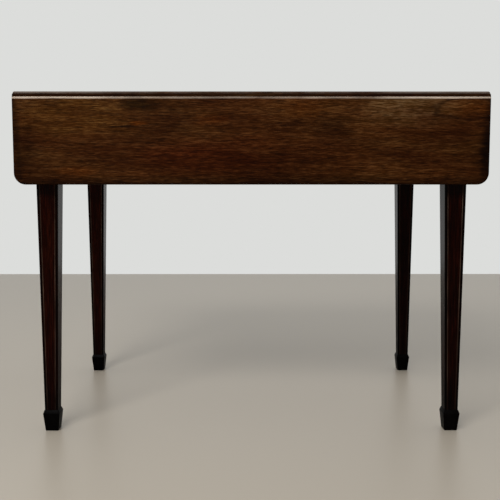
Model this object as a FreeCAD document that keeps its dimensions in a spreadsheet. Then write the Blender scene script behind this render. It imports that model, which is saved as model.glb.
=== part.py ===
import FreeCAD, Part
import Sketcher
import math
import os
from types import SimpleNamespace

# Pembroke table with both leaves hanging, in millimetres.
# +X runs along the leaves, the front leaf is at -Y, +Z is up, and the origin is on
# the floor under the middle of the top. The drawer is at the +X end.

Vec = FreeCAD.Vector
Turn = FreeCAD.Rotation
doc = FreeCAD.newDocument("PembrokeTable")
sheet = doc.addObject("Spreadsheet::Sheet", "Sizes")

sizes = {
    # top, leaves and rule joint
    "table_height": 720,
    "top_length": 975,
    "fillet_step": 4,
    "ovolo_radius": 7,
    "hinge_depth": 5,
    "rule_gap": 0.4,
    "lip_gap": 0.3,
    "leaf_drop": 178.6,
    "leaf_clear": 14,
    "corner_radius": 24,
    "rim_round": 3.4,
    "lip_round": 2.8,
    "arris_round": 1.5,
    # table hinges
    "hinge_offset": 335,
    "hinge_width": 36,
    "hinge_knuckle": 12,
    "hinge_fit": 0.05,
    "hinge_room": 0.5,
    "plate_thickness": 2,
    "top_plate_reach": 36,
    "leaf_plate_reach": 66,
    "hinge_pin_radius": 1.75,
    "top_screw_length": 22,
    "top_screw_shank": 2.2,
    "top_screw_head": 4.2,
    "top_screw_spread": 300,
    # legs, spade feet and stringing
    "leg_spread_x": 853.6,
    "leg_spread_y": 508,
    "leg_top": 47,
    "taper_outer": 5.1,
    "taper_inner": 13.6,
    "foot_height": 46,
    "foot_belly_height": 38.5,
    "foot_belly": 35.5,
    "foot_base": 27.5,
    "foot_shoulder": 0.8,
    "stub_width": 13,
    "stub_length": 24,
    "string_width": 1.6,
    "string_depth": 1.2,
    "string_inset": 5.8,
    "string_inset_ankle": 5,
    # rails
    "apron_height": 112,
    "side_rail": 19,
    "end_rail": 22,
    "rail_recess": 1,
    "drawer_rail_upper": 14,
    "drawer_rail_lower": 18,
    "tenon_thickness": 10,
    "tenon_length": 18,
    "tenon_shoulder": 6,
    "lower_tenon_width": 22,
    "lower_tenon_height": 9,
    "dovetail_length": 16,
    "dovetail_neck": 18,
    "dovetail_flare": 3,
    # fly rails and their brackets
    "fly_thickness": 22,
    "fly_recess": 0.5,
    "fly_gap": 0.5,
    "fly_top_gap": 0.4,
    "knuckle_gap": 0.3,
    "knuckle_room": 0.4,
    "bracket_pin_offset": 150,
    "bracket_length": 160,
    "bracket_tip": 34,
    "bracket_heel": 55,
    "bracket_end_gap": 1,
    "bracket_pin_radius": 3,
    "bracket_fit": 0.05,
    # drawer
    "drawer_length": 520,
    "drawer_front": 20,
    "drawer_wall": 10,
    "drawer_side_gap": 0.8,
    "drawer_top_gap": 1.2,
    "drawer_bottom": 6,
    "bottom_rise": 9,
    "groove_depth": 4,
    "groove_room": 0.2,
    "lap_wall": 1.5,
    "tail_neck": 14,
    "tail_flare": 2.8,
    "back_drop": 6,
    "bead_thickness": 3,
    "bead_depth": 8,
    "bead_straight": 0.4,
    "runner_width": 26,
    "guide_height": 24,
    "guide_gap": 0.4,
    "kicker_width": 24,
    "stop_height": 6,
    "stop_depth": 14,
    "stop_width": 30,
    "stop_offset": 110,
    # turned knobs
    "knob_stem_radius": 2.5,
    "knob_stem": 14,
    "knob_rose_radius": 9,
    "knob_rose": 1.6,
    "knob_neck_radius": 4.5,
    "knob_neck": 5.5,
    "knob_swell": 6.5,
    "knob_bevel": 5,
    "knob_button_radius": 5.5,
}
for row, (alias, number) in enumerate(sizes.items(), start=1):
    sheet.set(f"A{row}", alias)
    sheet.set(f"B{row}", str(number))
    sheet.setAlias(f"B{row}", alias)
doc.recompute()


class Dim:
    """A length as a number, with the sheet expression that gives it."""

    def __init__(self, number, text):
        self.number = number
        self.text = text

    def __add__(self, other):
        other = dim(other)
        return Dim(self.number + other.number, f"({self.text} + {other.text})")

    def __sub__(self, other):
        other = dim(other)
        return Dim(self.number - other.number, f"({self.text} - {other.text})")

    def __mul__(self, other):
        other = dim(other)
        return Dim(self.number * other.number, f"({self.text} * {other.text})")

    def __truediv__(self, other):
        other = dim(other)
        return Dim(self.number / other.number, f"({self.text} / {other.text})")

    def __neg__(self):
        return Dim(-self.number, f"(-{self.text})")


def dim(value):
    return value if isinstance(value, Dim) else Dim(float(value), f"({float(value)})")


def root(value):
    return Dim(math.sqrt(value.number), f"sqrt({value.text})")


def leg_of(hypotenuse, side):
    return root(hypotenuse * hypotenuse - side * side)


def smaller(one, two):
    return Dim(min(one.number, two.number), f"min({one.text}; {two.text})")


zero = dim(0)
s = SimpleNamespace(**{name: Dim(float(sheet.get(name)), f"Sizes.{name}") for name in sizes})

# Places worked out from the driving sizes. Distances in X and Y are measured outwards
# from the middle, and a side's sign puts them on its side.
half_length = s.top_length / 2
top_thickness = s.fillet_step + s.ovolo_radius + s.hinge_depth
underside = s.table_height - top_thickness
axis_z = underside + s.hinge_depth
apron_z = underside - s.apron_height
leg_x = s.leg_spread_x / 2
leg_y = s.leg_spread_y / 2
leg_in_x = leg_x - s.leg_top / 2
leg_out_x = leg_x + s.leg_top / 2
leg_in_y = leg_y - s.leg_top / 2
leg_out_y = leg_y + s.leg_top / 2
axis_y = leg_out_y + s.leaf_clear + s.hinge_depth
face_x = leg_out_x - s.rail_recess
fly_out = leg_out_y - s.fly_recess
fly_in = fly_out - s.fly_thickness
rail_out = fly_in - s.fly_gap
rail_in = rail_out - s.side_rail
knuckle_radius = s.fly_thickness / 2
pin_y = fly_out - knuckle_radius
drawer_z = apron_z + s.drawer_rail_lower
kicker_z = underside - s.drawer_rail_upper
drawer_height = s.apron_height - s.drawer_rail_lower - s.drawer_rail_upper - s.drawer_top_gap
drawer_half = leg_in_y - s.drawer_side_gap
drawer_inner = drawer_half - s.drawer_wall
front_back = face_x - s.drawer_front
drawer_end = face_x - s.drawer_length
panel_z = drawer_z + s.bottom_rise
barrel_radius = s.hinge_depth - s.plate_thickness / 2
plate_start = s.hinge_depth + s.hinge_room

sides = (("front", -1), ("rear", 1))
ends = (("left", -1), ("right", 1))
finger_count = 3
tail_count = 3

subparts = []


def label(shape_object, name):
    shape_object.Label = name
    subparts.append(shape_object)
    return shape_object


def bind(target, prop, value):
    target.setExpression(prop, dim(value).text)


def place(target, x, y, z):
    for axis, value in zip("xyz", (x, y, z)):
        bind(target, f"Placement.Base.{axis}", value)


def span(sign, inner, outer):
    inner, outer = dim(inner), dim(outer)
    return (inner, outer) if sign > 0 else (-outer, -inner)


def about(middle, width):
    return (dim(middle) - width / 2, dim(middle) + width / 2)


def box(name, x, y, z):
    made = doc.addObject("Part::Box", name)
    for prop, (low, high) in zip(("Length", "Width", "Height"), (x, y, z)):
        bind(made, prop, dim(high) - low)
    place(made, x[0], y[0], z[0])
    return made


# How a wedge, which tapers along its own Y, is turned to taper along each axis.
wedge_turns = {"x": Turn(Vec(1, 1, 1), -120), "y": Turn(), "z": Turn(Vec(1, 0, 0), 90)}


def wedge(name, axis, along, low_end, high_end):
    """A block between two rectangles; each is given as its two spans in X, Y, Z order."""
    made = doc.addObject("Part::Wedge", name)
    made.Placement = FreeCAD.Placement(Vec(), wedge_turns[axis])
    bind(made, "Ymin", along[0])
    bind(made, "Ymax", along[1])
    for mark, (first, second) in (("", low_end), ("2", high_end)):
        if axis == "x":
            first, second = second, first
        if axis == "z":
            second = (-dim(second[1]), -dim(second[0]))
        bind(made, f"X{mark}min", first[0])
        bind(made, f"X{mark}max", first[1])
        bind(made, f"Z{mark}min", second[0])
        bind(made, f"Z{mark}max", second[1])
    return made


rod_turns = {"x": Turn(Vec(0, 1, 0), 90), "y": Turn(Vec(1, 0, 0), -90), "z": Turn()}


def rod(name, axis, radius, along, first, second):
    """A cylinder along an axis; first and second are its other two coordinates in order."""
    made = doc.addObject("Part::Cylinder", name)
    made.Placement = FreeCAD.Placement(Vec(), rod_turns[axis])
    bind(made, "Radius", radius)
    bind(made, "Height", dim(along[1]) - along[0])
    spot = [first, second]
    spot.insert("xyz".index(axis), along[0])
    place(made, *spot)
    return made


def fuse(name, shapes):
    made = doc.addObject("Part::MultiFuse", name)
    made.Shapes = shapes
    made.Refine = True
    return made


def group(name, shapes):
    made = doc.addObject("Part::Compound", name)
    made.Links = shapes
    return made


def cut(name, base, tools):
    made = doc.addObject("Part::Cut", name)
    made.Base = base
    made.Tool = tools[0] if len(tools) == 1 else fuse(f"{name}_tools", tools)
    made.Refine = True
    return made


def outline(body, name, plane, points, arcs):
    """A closed sketch through points, straight but for arcs {first point: (centre, radius)}."""
    sketch = body.newObject("Sketcher::SketchObject", name)
    origin = [one for one in body.Origin.OriginFeatures if one.Role == plane]
    sketch.AttachmentSupport = [(origin[0], "")]
    sketch.MapMode = "FlatFace"
    spots = [Vec(dim(u).number, dim(v).number, 0) for u, v in points]
    edge_ends = []
    for index, start in enumerate(spots):
        stop = spots[(index + 1) % len(spots)]
        if index not in arcs:
            sketch.addGeometry(Part.LineSegment(start, stop), False)
            edge_ends.append((1, 2))
            continue
        (u, v), radius = arcs[index]
        middle = Vec(dim(u).number, dim(v).number, 0)
        anticlockwise = (start - middle).cross(stop - middle).z > 0
        angles = [math.atan2(spot.y - middle.y, spot.x - middle.x) for spot in (start, stop)]
        if not anticlockwise:
            angles.reverse()
        circle = Part.Circle(middle, Vec(0, 0, 1), radius.number)
        sketch.addGeometry(Part.ArcOfCircle(circle, *angles), False)
        edge_ends.append((1, 2) if anticlockwise else (2, 1))
    for index, (first, last) in enumerate(edge_ends):
        after = (index + 1) % len(edge_ends)
        sketch.addConstraint(Sketcher.Constraint("Coincident", index, last, after, edge_ends[after][0]))
    for index, (first, last) in enumerate(edge_ends):
        for kind, line, value in zip(("DistanceX", "DistanceY"), (-2, -1), points[index]):
            value = dim(value)
            if value is zero:
                sketch.addConstraint(Sketcher.Constraint("PointOnObject", index, first, line))
                continue
            rule = Sketcher.Constraint(kind, -1, 1, index, first, value.number)
            number = sketch.addConstraint(rule)
            bind(sketch, f"Constraints[{number}]", value)
    for index, (middle, radius) in arcs.items():
        number = sketch.addConstraint(Sketcher.Constraint("Radius", index, radius.number))
        bind(sketch, f"Constraints[{number}]", radius)
    return sketch


def extrusion(name, plane, points, arcs, length, symmetric=True):
    body = doc.addObject("PartDesign::Body", name)
    sketch = outline(body, f"{name}_outline", plane, points, arcs)
    pad = body.newObject("PartDesign::Pad", f"{name}_pad")
    pad.Profile = sketch
    pad.SideType = "Symmetric" if symmetric else "One side"
    bind(pad, "Length", length)
    doc.recompute()
    return body


def dress_edges(body, kind, name, size, wanted):
    """A Fillet or a Chamfer of the wanted edges."""
    base = body.Tip
    edges = [f"Edge{number}" for number, edge in enumerate(base.Shape.Edges, start=1) if wanted(edge)]
    dressing = body.newObject(f"PartDesign::{kind}", name)
    dressing.Base = (base, edges)
    bind(dressing, "Radius" if kind == "Fillet" else "Size", size)
    doc.recompute()


def near(one, two):
    return abs(one - dim(two).number) < 1e-4


def lies_at(edge, axis, level):
    low = getattr(edge.BoundBox, f"{axis}Min")
    high = getattr(edge.BoundBox, f"{axis}Max")
    return near(low, level) and near(high, level)


def on_end(edge):
    return lies_at(edge, "X", half_length) or lies_at(edge, "X", -half_length)


# Screws that hold the top: a countersunk head and a plain shank, up through the kickers.
def top_screw(side, sign, end, end_sign):
    x = s.top_screw_spread * end_sign
    y = (rail_in - s.kicker_width / 2) * sign
    z = kicker_z
    head = doc.addObject("Part::Cone", f"screw_head_{side}_{end}")
    bind(head, "Radius1", s.top_screw_head)
    bind(head, "Radius2", s.top_screw_shank)
    bind(head, "Height", s.top_screw_head - s.top_screw_shank)
    place(head, x, y, z)
    shank = rod(f"screw_shank_{side}_{end}", "z", s.top_screw_shank, (z, z + s.top_screw_length), x, y)
    return fuse(f"top_screw_{side}_{end}", [head, shank])


top_screws = group("top_screws", [top_screw(*side, *end) for side in sides for end in ends])
label(top_screws, "top_screws")


# Table hinges: the short plate and its two outer knuckles are fixed under the top, the
# long plate and the middle knuckle turn with the leaf.
def hinge_spans(end_sign):
    x = s.hinge_offset * end_sign
    low, high = about(x, s.hinge_width)
    inner_low, inner_high = about(x, s.hinge_knuckle)
    outer = ((low, inner_low - s.hinge_room), (inner_high + s.hinge_room, high))
    return (low, high), outer, (inner_low, inner_high)


def make_hinge(side, sign, end, end_sign):
    name = f"{side}_{end}"
    whole, outer, middle = hinge_spans(end_sign)
    y = axis_y * sign
    plate_z = (underside, underside + s.plate_thickness)
    top_plate_y = span(sign, axis_y - s.top_plate_reach, axis_y - plate_start)
    pieces = [box(f"top_plate_{name}", whole, top_plate_y, plate_z)]
    for number, knuckle in enumerate(outer):
        neck_y = span(sign, axis_y - plate_start, axis_y)
        pieces.append(box(f"top_neck_{name}_{number}", knuckle, neck_y, plate_z))
        pieces.append(rod(f"top_knuckle_{name}_{number}", "x", barrel_radius, knuckle, y, axis_z))
    pin_hole = rod(f"pin_hole_{name}", "x", s.hinge_pin_radius, whole, y, axis_z)
    fixed = cut(f"hinge_top_plate_{name}", fuse(f"top_flap_{name}", pieces), [pin_hole])
    label(fixed, f"hinge_top_plate_{name}")

    flap_y = span(sign, axis_y - s.hinge_depth, axis_y - s.hinge_depth + s.plate_thickness)
    flap = box(f"leaf_plate_{name}", whole, flap_y, (axis_z - s.leaf_plate_reach, axis_z - plate_start))
    neck = box(f"leaf_neck_{name}", middle, flap_y, (axis_z - plate_start, axis_z))
    knuckle = rod(f"leaf_knuckle_{name}", "x", barrel_radius, middle, y, axis_z)
    run_hole = rod(f"run_hole_{name}", "x", s.hinge_pin_radius + s.hinge_fit, whole, y, axis_z)
    moving = cut(f"hinge_leaf_plate_{name}", fuse(f"leaf_flap_{name}", [flap, neck, knuckle]), [run_hole])
    label(moving, f"hinge_leaf_plate_{name}")

    # Room for the plates and knuckles in the wood of the top
    room_x = (whole[0] - s.hinge_room, whole[1] + s.hinge_room)
    bed = box(f"plate_bed_{name}", whole, top_plate_y, plate_z)
    edge_y = span(sign, axis_y - plate_start, axis_y + s.ovolo_radius)
    swing_z = (underside, underside + s.plate_thickness + s.rule_gap)
    swing = box(f"plate_swing_{name}", room_x, edge_y, swing_z)
    barrel_room = barrel_radius + s.hinge_room
    throat_y = span(sign, axis_y - plate_start, axis_y + barrel_room)
    throat = box(f"throat_{name}", room_x, throat_y, (underside, axis_z + s.hinge_room))
    channel = rod(f"channel_{name}", "x", barrel_room, room_x, y, axis_z)
    pin = rod(f"hinge_pin_{name}", "x", s.hinge_pin_radius, whole, y, axis_z)
    return SimpleNamespace(pin=pin, flap=flap, beds=[bed, swing, throat, channel])


hinges = {(side, end): make_hinge(side, sign, end, end_sign)
          for side, sign in sides for end, end_sign in ends}
label(group("hinge_pins", [hinge.pin for hinge in hinges.values()]), "hinge_pins")


# Fixed top: a slab whose long edges are the ovolo and fillet of the rule joint. The ovolo
# runs on past the hinge's level, so that the leaf's cove clears it at every angle.
def make_top():
    toe = axis_y + leg_of(s.ovolo_radius, s.hinge_depth)
    step_z = s.table_height - s.fillet_step
    points = [(axis_y, s.table_height), (-axis_y, s.table_height), (-axis_y, step_z),
              (-toe, underside), (toe, underside), (axis_y, step_z)]
    arcs = {2: ((-axis_y, axis_z), s.ovolo_radius), 4: ((axis_y, axis_z), s.ovolo_radius)}
    slab = extrusion("top_slab", "YZ_Plane", points, arcs, s.top_length)

    def end_edge_at(level):
        return lambda edge: on_end(edge) and lies_at(edge, "Z", level)

    dress_edges(slab, "Fillet", "top_end_round", s.rim_round, end_edge_at(s.table_height))
    dress_edges(slab, "Fillet", "top_end_arris", s.arris_round, end_edge_at(underside))
    beds = [bed for hinge in hinges.values() for bed in hinge.beds]
    label(cut("fixed_top", slab, beds + [top_screws]), "fixed_top")


# Leaf: the cove of the rule joint above, rounded lower corners and a rounded rim.
def make_leaf(side, sign):
    cove = s.ovolo_radius + s.rule_gap
    outer = axis_y + s.fillet_step + s.ovolo_radius
    inner = axis_y - s.hinge_depth
    lip_z = axis_z - s.lip_gap
    bottom = axis_z - s.leaf_drop
    points = [(outer, lip_z), (axis_y + leg_of(cove, s.lip_gap), lip_z), (axis_y, axis_z - cove),
              (inner, axis_z - cove), (inner, bottom), (outer, bottom)]
    points = [(u * sign, v) for u, v in points]
    arcs = {1: ((axis_y * sign, axis_z), cove)}
    board = extrusion(f"leaf_board_{side}", "YZ_Plane", points, arcs, s.top_length)

    def corner(edge):
        return on_end(edge) and lies_at(edge, "Z", bottom)

    def outer_rim(edge):
        return lies_at(edge, "Y", outer * sign) and not lies_at(edge, "Z", lip_z)

    def lip(edge):
        return lies_at(edge, "Y", outer * sign) and lies_at(edge, "Z", lip_z)

    def inner_rim(edge):
        return lies_at(edge, "Y", inner * sign) and not lies_at(edge, "Z", axis_z - cove)

    dress_edges(board, "Fillet", f"leaf_corner_{side}", s.corner_radius, corner)
    lip_wall = (s.fillet_step - s.rule_gap) * 0.96
    dress_edges(board, "Fillet", f"leaf_rim_{side}", smaller(s.rim_round, lip_wall), outer_rim)
    dress_edges(board, "Fillet", f"leaf_lip_{side}", smaller(s.lip_round, lip_wall * 0.85), lip)
    dress_edges(board, "Chamfer", f"leaf_arris_{side}", s.arris_round, inner_rim)
    beds = [hinges[side, end].flap for end, end_sign in ends]
    label(cut(f"leaf_{side}", board, beds), f"leaf_{side}")


make_top()
for side, sign in sides:
    make_leaf(side, sign)


# Rails between the legs, with the tenons and dovetails that the legs are cut for.
tenon_z = (drawer_z + s.tenon_shoulder, kicker_z - s.tenon_shoulder)
leg_joints = {(side, end): [] for side, sign in sides for end, end_sign in ends}


def make_side_rail(side, sign):
    middle = (rail_in + rail_out) / 2
    thickness = about(middle, s.tenon_thickness)
    board_y = span(sign, rail_in, rail_out)
    pieces = [box(f"side_board_{side}", (-leg_in_x, leg_in_x), board_y, (apron_z, underside))]
    for end, end_sign in ends:
        x = span(end_sign, leg_in_x, leg_in_x + s.tenon_length)
        tenon = box(f"side_tenon_{side}_{end}", x, span(sign, *thickness), tenon_z)
        pieces.append(tenon)
        leg_joints[side, end].append(tenon)
    label(fuse(f"side_rail_{side}", pieces), f"side_rail_{side}")


def make_end_rail():
    inner = face_x - s.end_rail
    pieces = [box("end_board", span(-1, inner, face_x), (-leg_in_y, leg_in_y), (apron_z, underside))]
    thickness = about((inner + face_x) / 2, s.tenon_thickness)
    for side, sign in sides:
        y = span(sign, leg_in_y, leg_in_y + s.tenon_length)
        tenon = box(f"end_tenon_{side}", span(-1, *thickness), y, tenon_z)
        pieces.append(tenon)
        leg_joints[side, "left"].append(tenon)
    return fuse("end_rail_blank", pieces)


def make_drawer_rails():
    depth = (leg_in_x, face_x)
    middle = (leg_in_x + face_x) / 2
    upper_z = (kicker_z, underside)
    lower_z = (apron_z, drawer_z)
    upper = [box("upper_board", depth, (-leg_in_y, leg_in_y), upper_z)]
    lower = [box("lower_board", depth, (-leg_in_y, leg_in_y), lower_z)]
    neck = (about(middle, s.dovetail_neck), upper_z)
    flared = (about(middle, s.dovetail_neck + s.dovetail_flare * 2), upper_z)
    for side, sign in sides:
        tail_y = span(sign, leg_in_y, leg_in_y + s.dovetail_length)
        rectangles = (neck, flared) if sign > 0 else (flared, neck)
        tail = wedge(f"rail_dovetail_{side}", "y", tail_y, *rectangles)
        tenon_y = span(sign, leg_in_y, leg_in_y + s.tenon_length)
        tenon_height = about(apron_z + s.drawer_rail_lower / 2, s.lower_tenon_height)
        tenon = box(f"lower_tenon_{side}", about(middle, s.lower_tenon_width), tenon_y, tenon_height)
        upper.append(tail)
        lower.append(tenon)
        leg_joints[side, "right"] += [tail, tenon]
    label(fuse("drawer_top_rail", upper), "drawer_top_rail")
    label(fuse("drawer_bottom_rail", lower), "drawer_bottom_rail")


for side, sign in sides:
    make_side_rail(side, sign)
end_rail_blank = make_end_rail()
make_drawer_rails()


# Legs: a square block above, a taper that is mostly on the inner faces, a stub tenon in
# the spade foot, and two flush string lines let into each face.
leg_section = ((leg_in_x, leg_out_x), (leg_in_y, leg_out_y))
ankle_section = tuple((low + s.taper_inner, high - s.taper_outer) for low, high in leg_section)


def string_strips(section, inset):
    """The eight string lines of a leg where it has this section, as X and Y spans."""
    strips = []
    for across, along in ((0, 1), (1, 0)):
        low, high = section[across]
        start, stop = section[along]
        for depth in ((low, low + s.string_depth), (high - s.string_depth, high)):
            first = start + inset
            last = stop - inset
            for line in ((first, first + s.string_width), (last - s.string_width, last)):
                strips.append((depth, line) if across == 0 else (line, depth))
    return strips


def on_corner(rectangle, end_sign, sign):
    x, y = rectangle
    return (span(end_sign, *x), span(sign, *y))


def make_leg(side, sign, end, end_sign):
    name = f"{side}_{end}"
    square = on_corner(leg_section, end_sign, sign)
    ankle = on_corner(ankle_section, end_sign, sign)
    shaft_z = (s.foot_height, apron_z)
    middle = [(low + high) / 2 for low, high in ankle]
    strings = []
    low_strips = string_strips(ankle_section, s.string_inset_ankle)
    for number, (low, high) in enumerate(zip(low_strips, string_strips(leg_section, s.string_inset))):
        low = on_corner(low, end_sign, sign)
        high = on_corner(high, end_sign, sign)
        strings.append(wedge(f"string_{name}_{number}", "z", shaft_z, low, high))
    block = box(f"leg_block_{name}", *square, (apron_z, underside))
    shaft = wedge(f"leg_shaft_{name}", "z", shaft_z, ankle, square)
    stub_section = [about(value, s.stub_width) for value in middle]
    stub = box(f"stub_{name}", *stub_section, (s.foot_height - s.stub_length, s.foot_height))
    blank = fuse(f"leg_blank_{name}", [block, shaft, stub])
    label(cut(f"leg_{name}", blank, leg_joints[side, end] + strings), f"leg_{name}")
    label(group(f"leg_stringing_{name}", strings), f"leg_stringing_{name}")

    belly = tuple(about(value, s.foot_belly) for value in middle)
    base = tuple(about(value, s.foot_base) for value in middle)
    shoulder = tuple((low - s.foot_shoulder, high + s.foot_shoulder) for low, high in ankle)
    lower = wedge(f"foot_lower_{name}", "z", (zero, s.foot_belly_height), base, belly)
    upper = wedge(f"foot_upper_{name}", "z", (s.foot_belly_height, s.foot_height), belly, shoulder)
    blank = fuse(f"foot_blank_{name}", [lower, upper])
    label(cut(f"spade_foot_{name}", blank, [stub]), f"spade_foot_{name}")


for side, sign in sides:
    for end, end_sign in ends:
        make_leg(side, sign, end, end_sign)


# Fly rails: a fixed block between two brackets that turn on wooden knuckles. The fingers
# are rounded about a steel pin, and both pieces are bevelled at 45 degrees, so that a
# bracket can stand square to the rail.
finger_height = s.apron_height / finger_count


def finger_span(number, room):
    low = apron_z + finger_height * number
    return (low + room, low + finger_height - room)


def fingers(name, numbers, radius, room, x, y):
    return [rod(f"{name}_{number}", "z", radius, finger_span(number, room), x, y) for number in numbers]


rail_fingers = range(0, finger_count, 2)
bracket_fingers = range(1, finger_count, 2)
bracket_pins = []
end_blocks = []


def make_fly_rail(side, sign):
    back = pin_y - rail_out
    pin_x = s.bracket_pin_offset
    y = pin_y * sign
    right = [(pin_x - back, rail_out), (pin_x, pin_y), (pin_x - knuckle_radius, fly_out)]
    points = right + [(-u, v) for u, v in reversed(right)]
    points = [(u, v * sign) for u, v in points]
    block = extrusion(f"fly_block_{side}", "XY_Plane", points, {}, s.apron_height, symmetric=False)
    place(block, zero, zero, apron_z)
    pieces = [block]
    tools = []
    for end, end_sign in ends:
        name = f"{side}_{end}"
        x = pin_x * end_sign
        room = knuckle_radius + s.knuckle_room
        pieces += fingers(f"rail_finger_{name}", rail_fingers, knuckle_radius, zero, x, y)
        tools += fingers(f"rail_notch_{name}", bracket_fingers, room, zero, x, y)
        tools.append(rod(f"rail_bore_{name}", "z", s.bracket_pin_radius, (apron_z, underside), x, y))
        bracket_pins.append(rod(f"bracket_pin_{name}", "z", s.bracket_pin_radius, (apron_z, underside), x, y))
        start = pin_x + s.bracket_length + s.bracket_end_gap
        block_y = span(sign, rail_out, fly_out)
        block_x = span(end_sign, start, leg_in_x)
        end_blocks.append(box(f"end_block_{name}", block_x, block_y, (apron_z, underside)))
        make_bracket(name, sign, end_sign, x, y)
    label(cut(f"fly_rail_{side}", fuse(f"fly_blank_{side}", pieces), tools), f"fly_rail_{side}")


def make_bracket(name, sign, end_sign, x, y):
    """A bracket whose underside sweeps up to its tip in an ogee of two equal arcs."""
    pin_x = s.bracket_pin_offset
    top = underside - s.fly_top_gap
    tip_x = pin_x + s.bracket_length
    heel_x = pin_x + s.bracket_heel
    tip_z = top - s.bracket_tip
    run = tip_x - heel_x
    rise = tip_z - apron_z
    bend = (run * run + rise * rise) / (rise * 4)
    points = [(pin_x, apron_z), (heel_x, apron_z), ((heel_x + tip_x) / 2, (apron_z + tip_z) / 2),
              (tip_x, tip_z), (tip_x, top), (pin_x, top)]
    arcs = {1: ((heel_x * end_sign, apron_z + bend), bend), 2: ((tip_x * end_sign, tip_z - bend), bend)}
    points = [(u * end_sign, v) for u, v in points]
    arm = extrusion(f"bracket_arm_{name}", "XZ_Plane", points, arcs, s.fly_thickness)
    place(arm, zero, y, zero)

    bevel = [(pin_x, pin_y), (pin_x + knuckle_radius, fly_in), (tip_x, fly_in),
             (tip_x, fly_out), (pin_x + knuckle_radius, fly_out)]
    bevel = [(u * end_sign, v * sign) for u, v in bevel]
    plan = extrusion(f"bracket_plan_{name}", "XY_Plane", bevel, {}, s.apron_height, symmetric=False)
    place(plan, zero, zero, apron_z)
    shaped = doc.addObject("Part::MultiCommon", f"bracket_shape_{name}")
    shaped.Shapes = [arm, plan]
    pieces = fingers(f"bracket_finger_{name}", bracket_fingers, knuckle_radius, s.knuckle_gap, x, y)
    pieces.append(shaped)
    room = knuckle_radius + s.knuckle_room
    tools = fingers(f"bracket_notch_{name}", rail_fingers, room, -s.knuckle_gap, x, y)
    bore_radius = s.bracket_pin_radius + s.bracket_fit
    tools.append(rod(f"bracket_bore_{name}", "z", bore_radius, (apron_z, underside), x, y))
    label(cut(f"fly_bracket_{name}", fuse(f"bracket_blank_{name}", pieces), tools), f"fly_bracket_{name}")


for side, sign in sides:
    make_fly_rail(side, sign)
label(group("fly_bracket_pins", bracket_pins), "fly_bracket_pins")
label(group("fly_end_blocks", end_blocks), "fly_end_blocks")


# Knobs and cock beads, alike on the drawer and on the dummy drawer.
def make_knob(prefix, end_sign):
    """A turned knob: a stem, a rose, a tapered neck and a bevelled head."""
    name = f"{prefix}_knob"
    body = doc.addObject("PartDesign::Body", name)
    head_z = s.knob_rose + s.knob_neck
    rim_z = head_z + s.knob_swell
    head_radius = s.knob_neck_radius + s.knob_swell
    button_z = rim_z + s.knob_bevel
    points = [(zero, -s.knob_stem), (s.knob_stem_radius, -s.knob_stem), (s.knob_stem_radius, zero),
              (s.knob_rose_radius, zero), (s.knob_rose_radius, s.knob_rose),
              (s.knob_neck_radius, head_z), (head_radius, rim_z),
              (s.knob_button_radius, button_z), (zero, button_z)]
    sketch = outline(body, f"{name}_outline", "XZ_Plane", points, {})
    turned = body.newObject("PartDesign::Revolution", f"{name}_turning")
    turned.Profile = sketch
    turned.ReferenceAxis = (sketch, ["V_Axis"])
    turned.Angle = 360
    body.Placement = FreeCAD.Placement(Vec(), Turn(Vec(0, 0, 1), Vec(end_sign, 0, 0)))
    place(body, face_x * end_sign, zero, drawer_z + drawer_height / 2)
    return label(body, name)


def make_bead(prefix, end_sign):
    """Four thin strips round the drawer front, standing proud with a half-round nose."""
    low = drawer_z + s.drawer_side_gap
    high = drawer_z + drawer_height
    nose = s.bead_thickness / 2
    nose_x = (face_x + s.bead_straight) * end_sign
    depth = span(end_sign, face_x - s.bead_depth, face_x + s.bead_straight)
    strips = []
    for edge, z in (("lower", low), ("upper", high - s.bead_thickness)):
        across = (-drawer_half, drawer_half)
        strip = box(f"{prefix}_bead_{edge}_strip", depth, across, (z, z + s.bead_thickness))
        round_nose = rod(f"{prefix}_bead_{edge}_nose", "y", nose, across, nose_x, z + nose)
        strips.append(fuse(f"{prefix}_bead_{edge}", [strip, round_nose]))
    for side, sign in sides:
        upright = (low + s.bead_thickness, high - s.bead_thickness)
        strip_y = span(sign, drawer_half - s.bead_thickness, drawer_half)
        strip = box(f"{prefix}_bead_{side}_strip", depth, strip_y, upright)
        nose_y = (drawer_half - nose) * sign
        round_nose = rod(f"{prefix}_bead_{side}_nose", "z", nose, upright, nose_x, nose_y)
        strips.append(fuse(f"{prefix}_bead_{side}", [strip, round_nose]))
    return label(group(f"{prefix}_cock_bead", strips), f"{prefix}_cock_bead")


dummy_fittings = [make_bead("dummy", -1), make_knob("dummy", -1)]
label(cut("end_rail", end_rail_blank, dummy_fittings), "end_rail")


# Drawer: dovetailed front and back, and a thin bottom held in grooves.
def drawer_tails(name, along, wide_first, y):
    tails = []
    for number in range(tail_count):
        middle = drawer_z + drawer_height * ((number + 0.5) / tail_count)
        neck = (y, about(middle, s.tail_neck))
        wide = (y, about(middle, s.tail_neck + s.tail_flare * 2))
        rectangles = (wide, neck) if wide_first else (neck, wide)
        tails.append(wedge(f"{name}_{number}", "x", along, *rectangles))
    return tails


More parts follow.
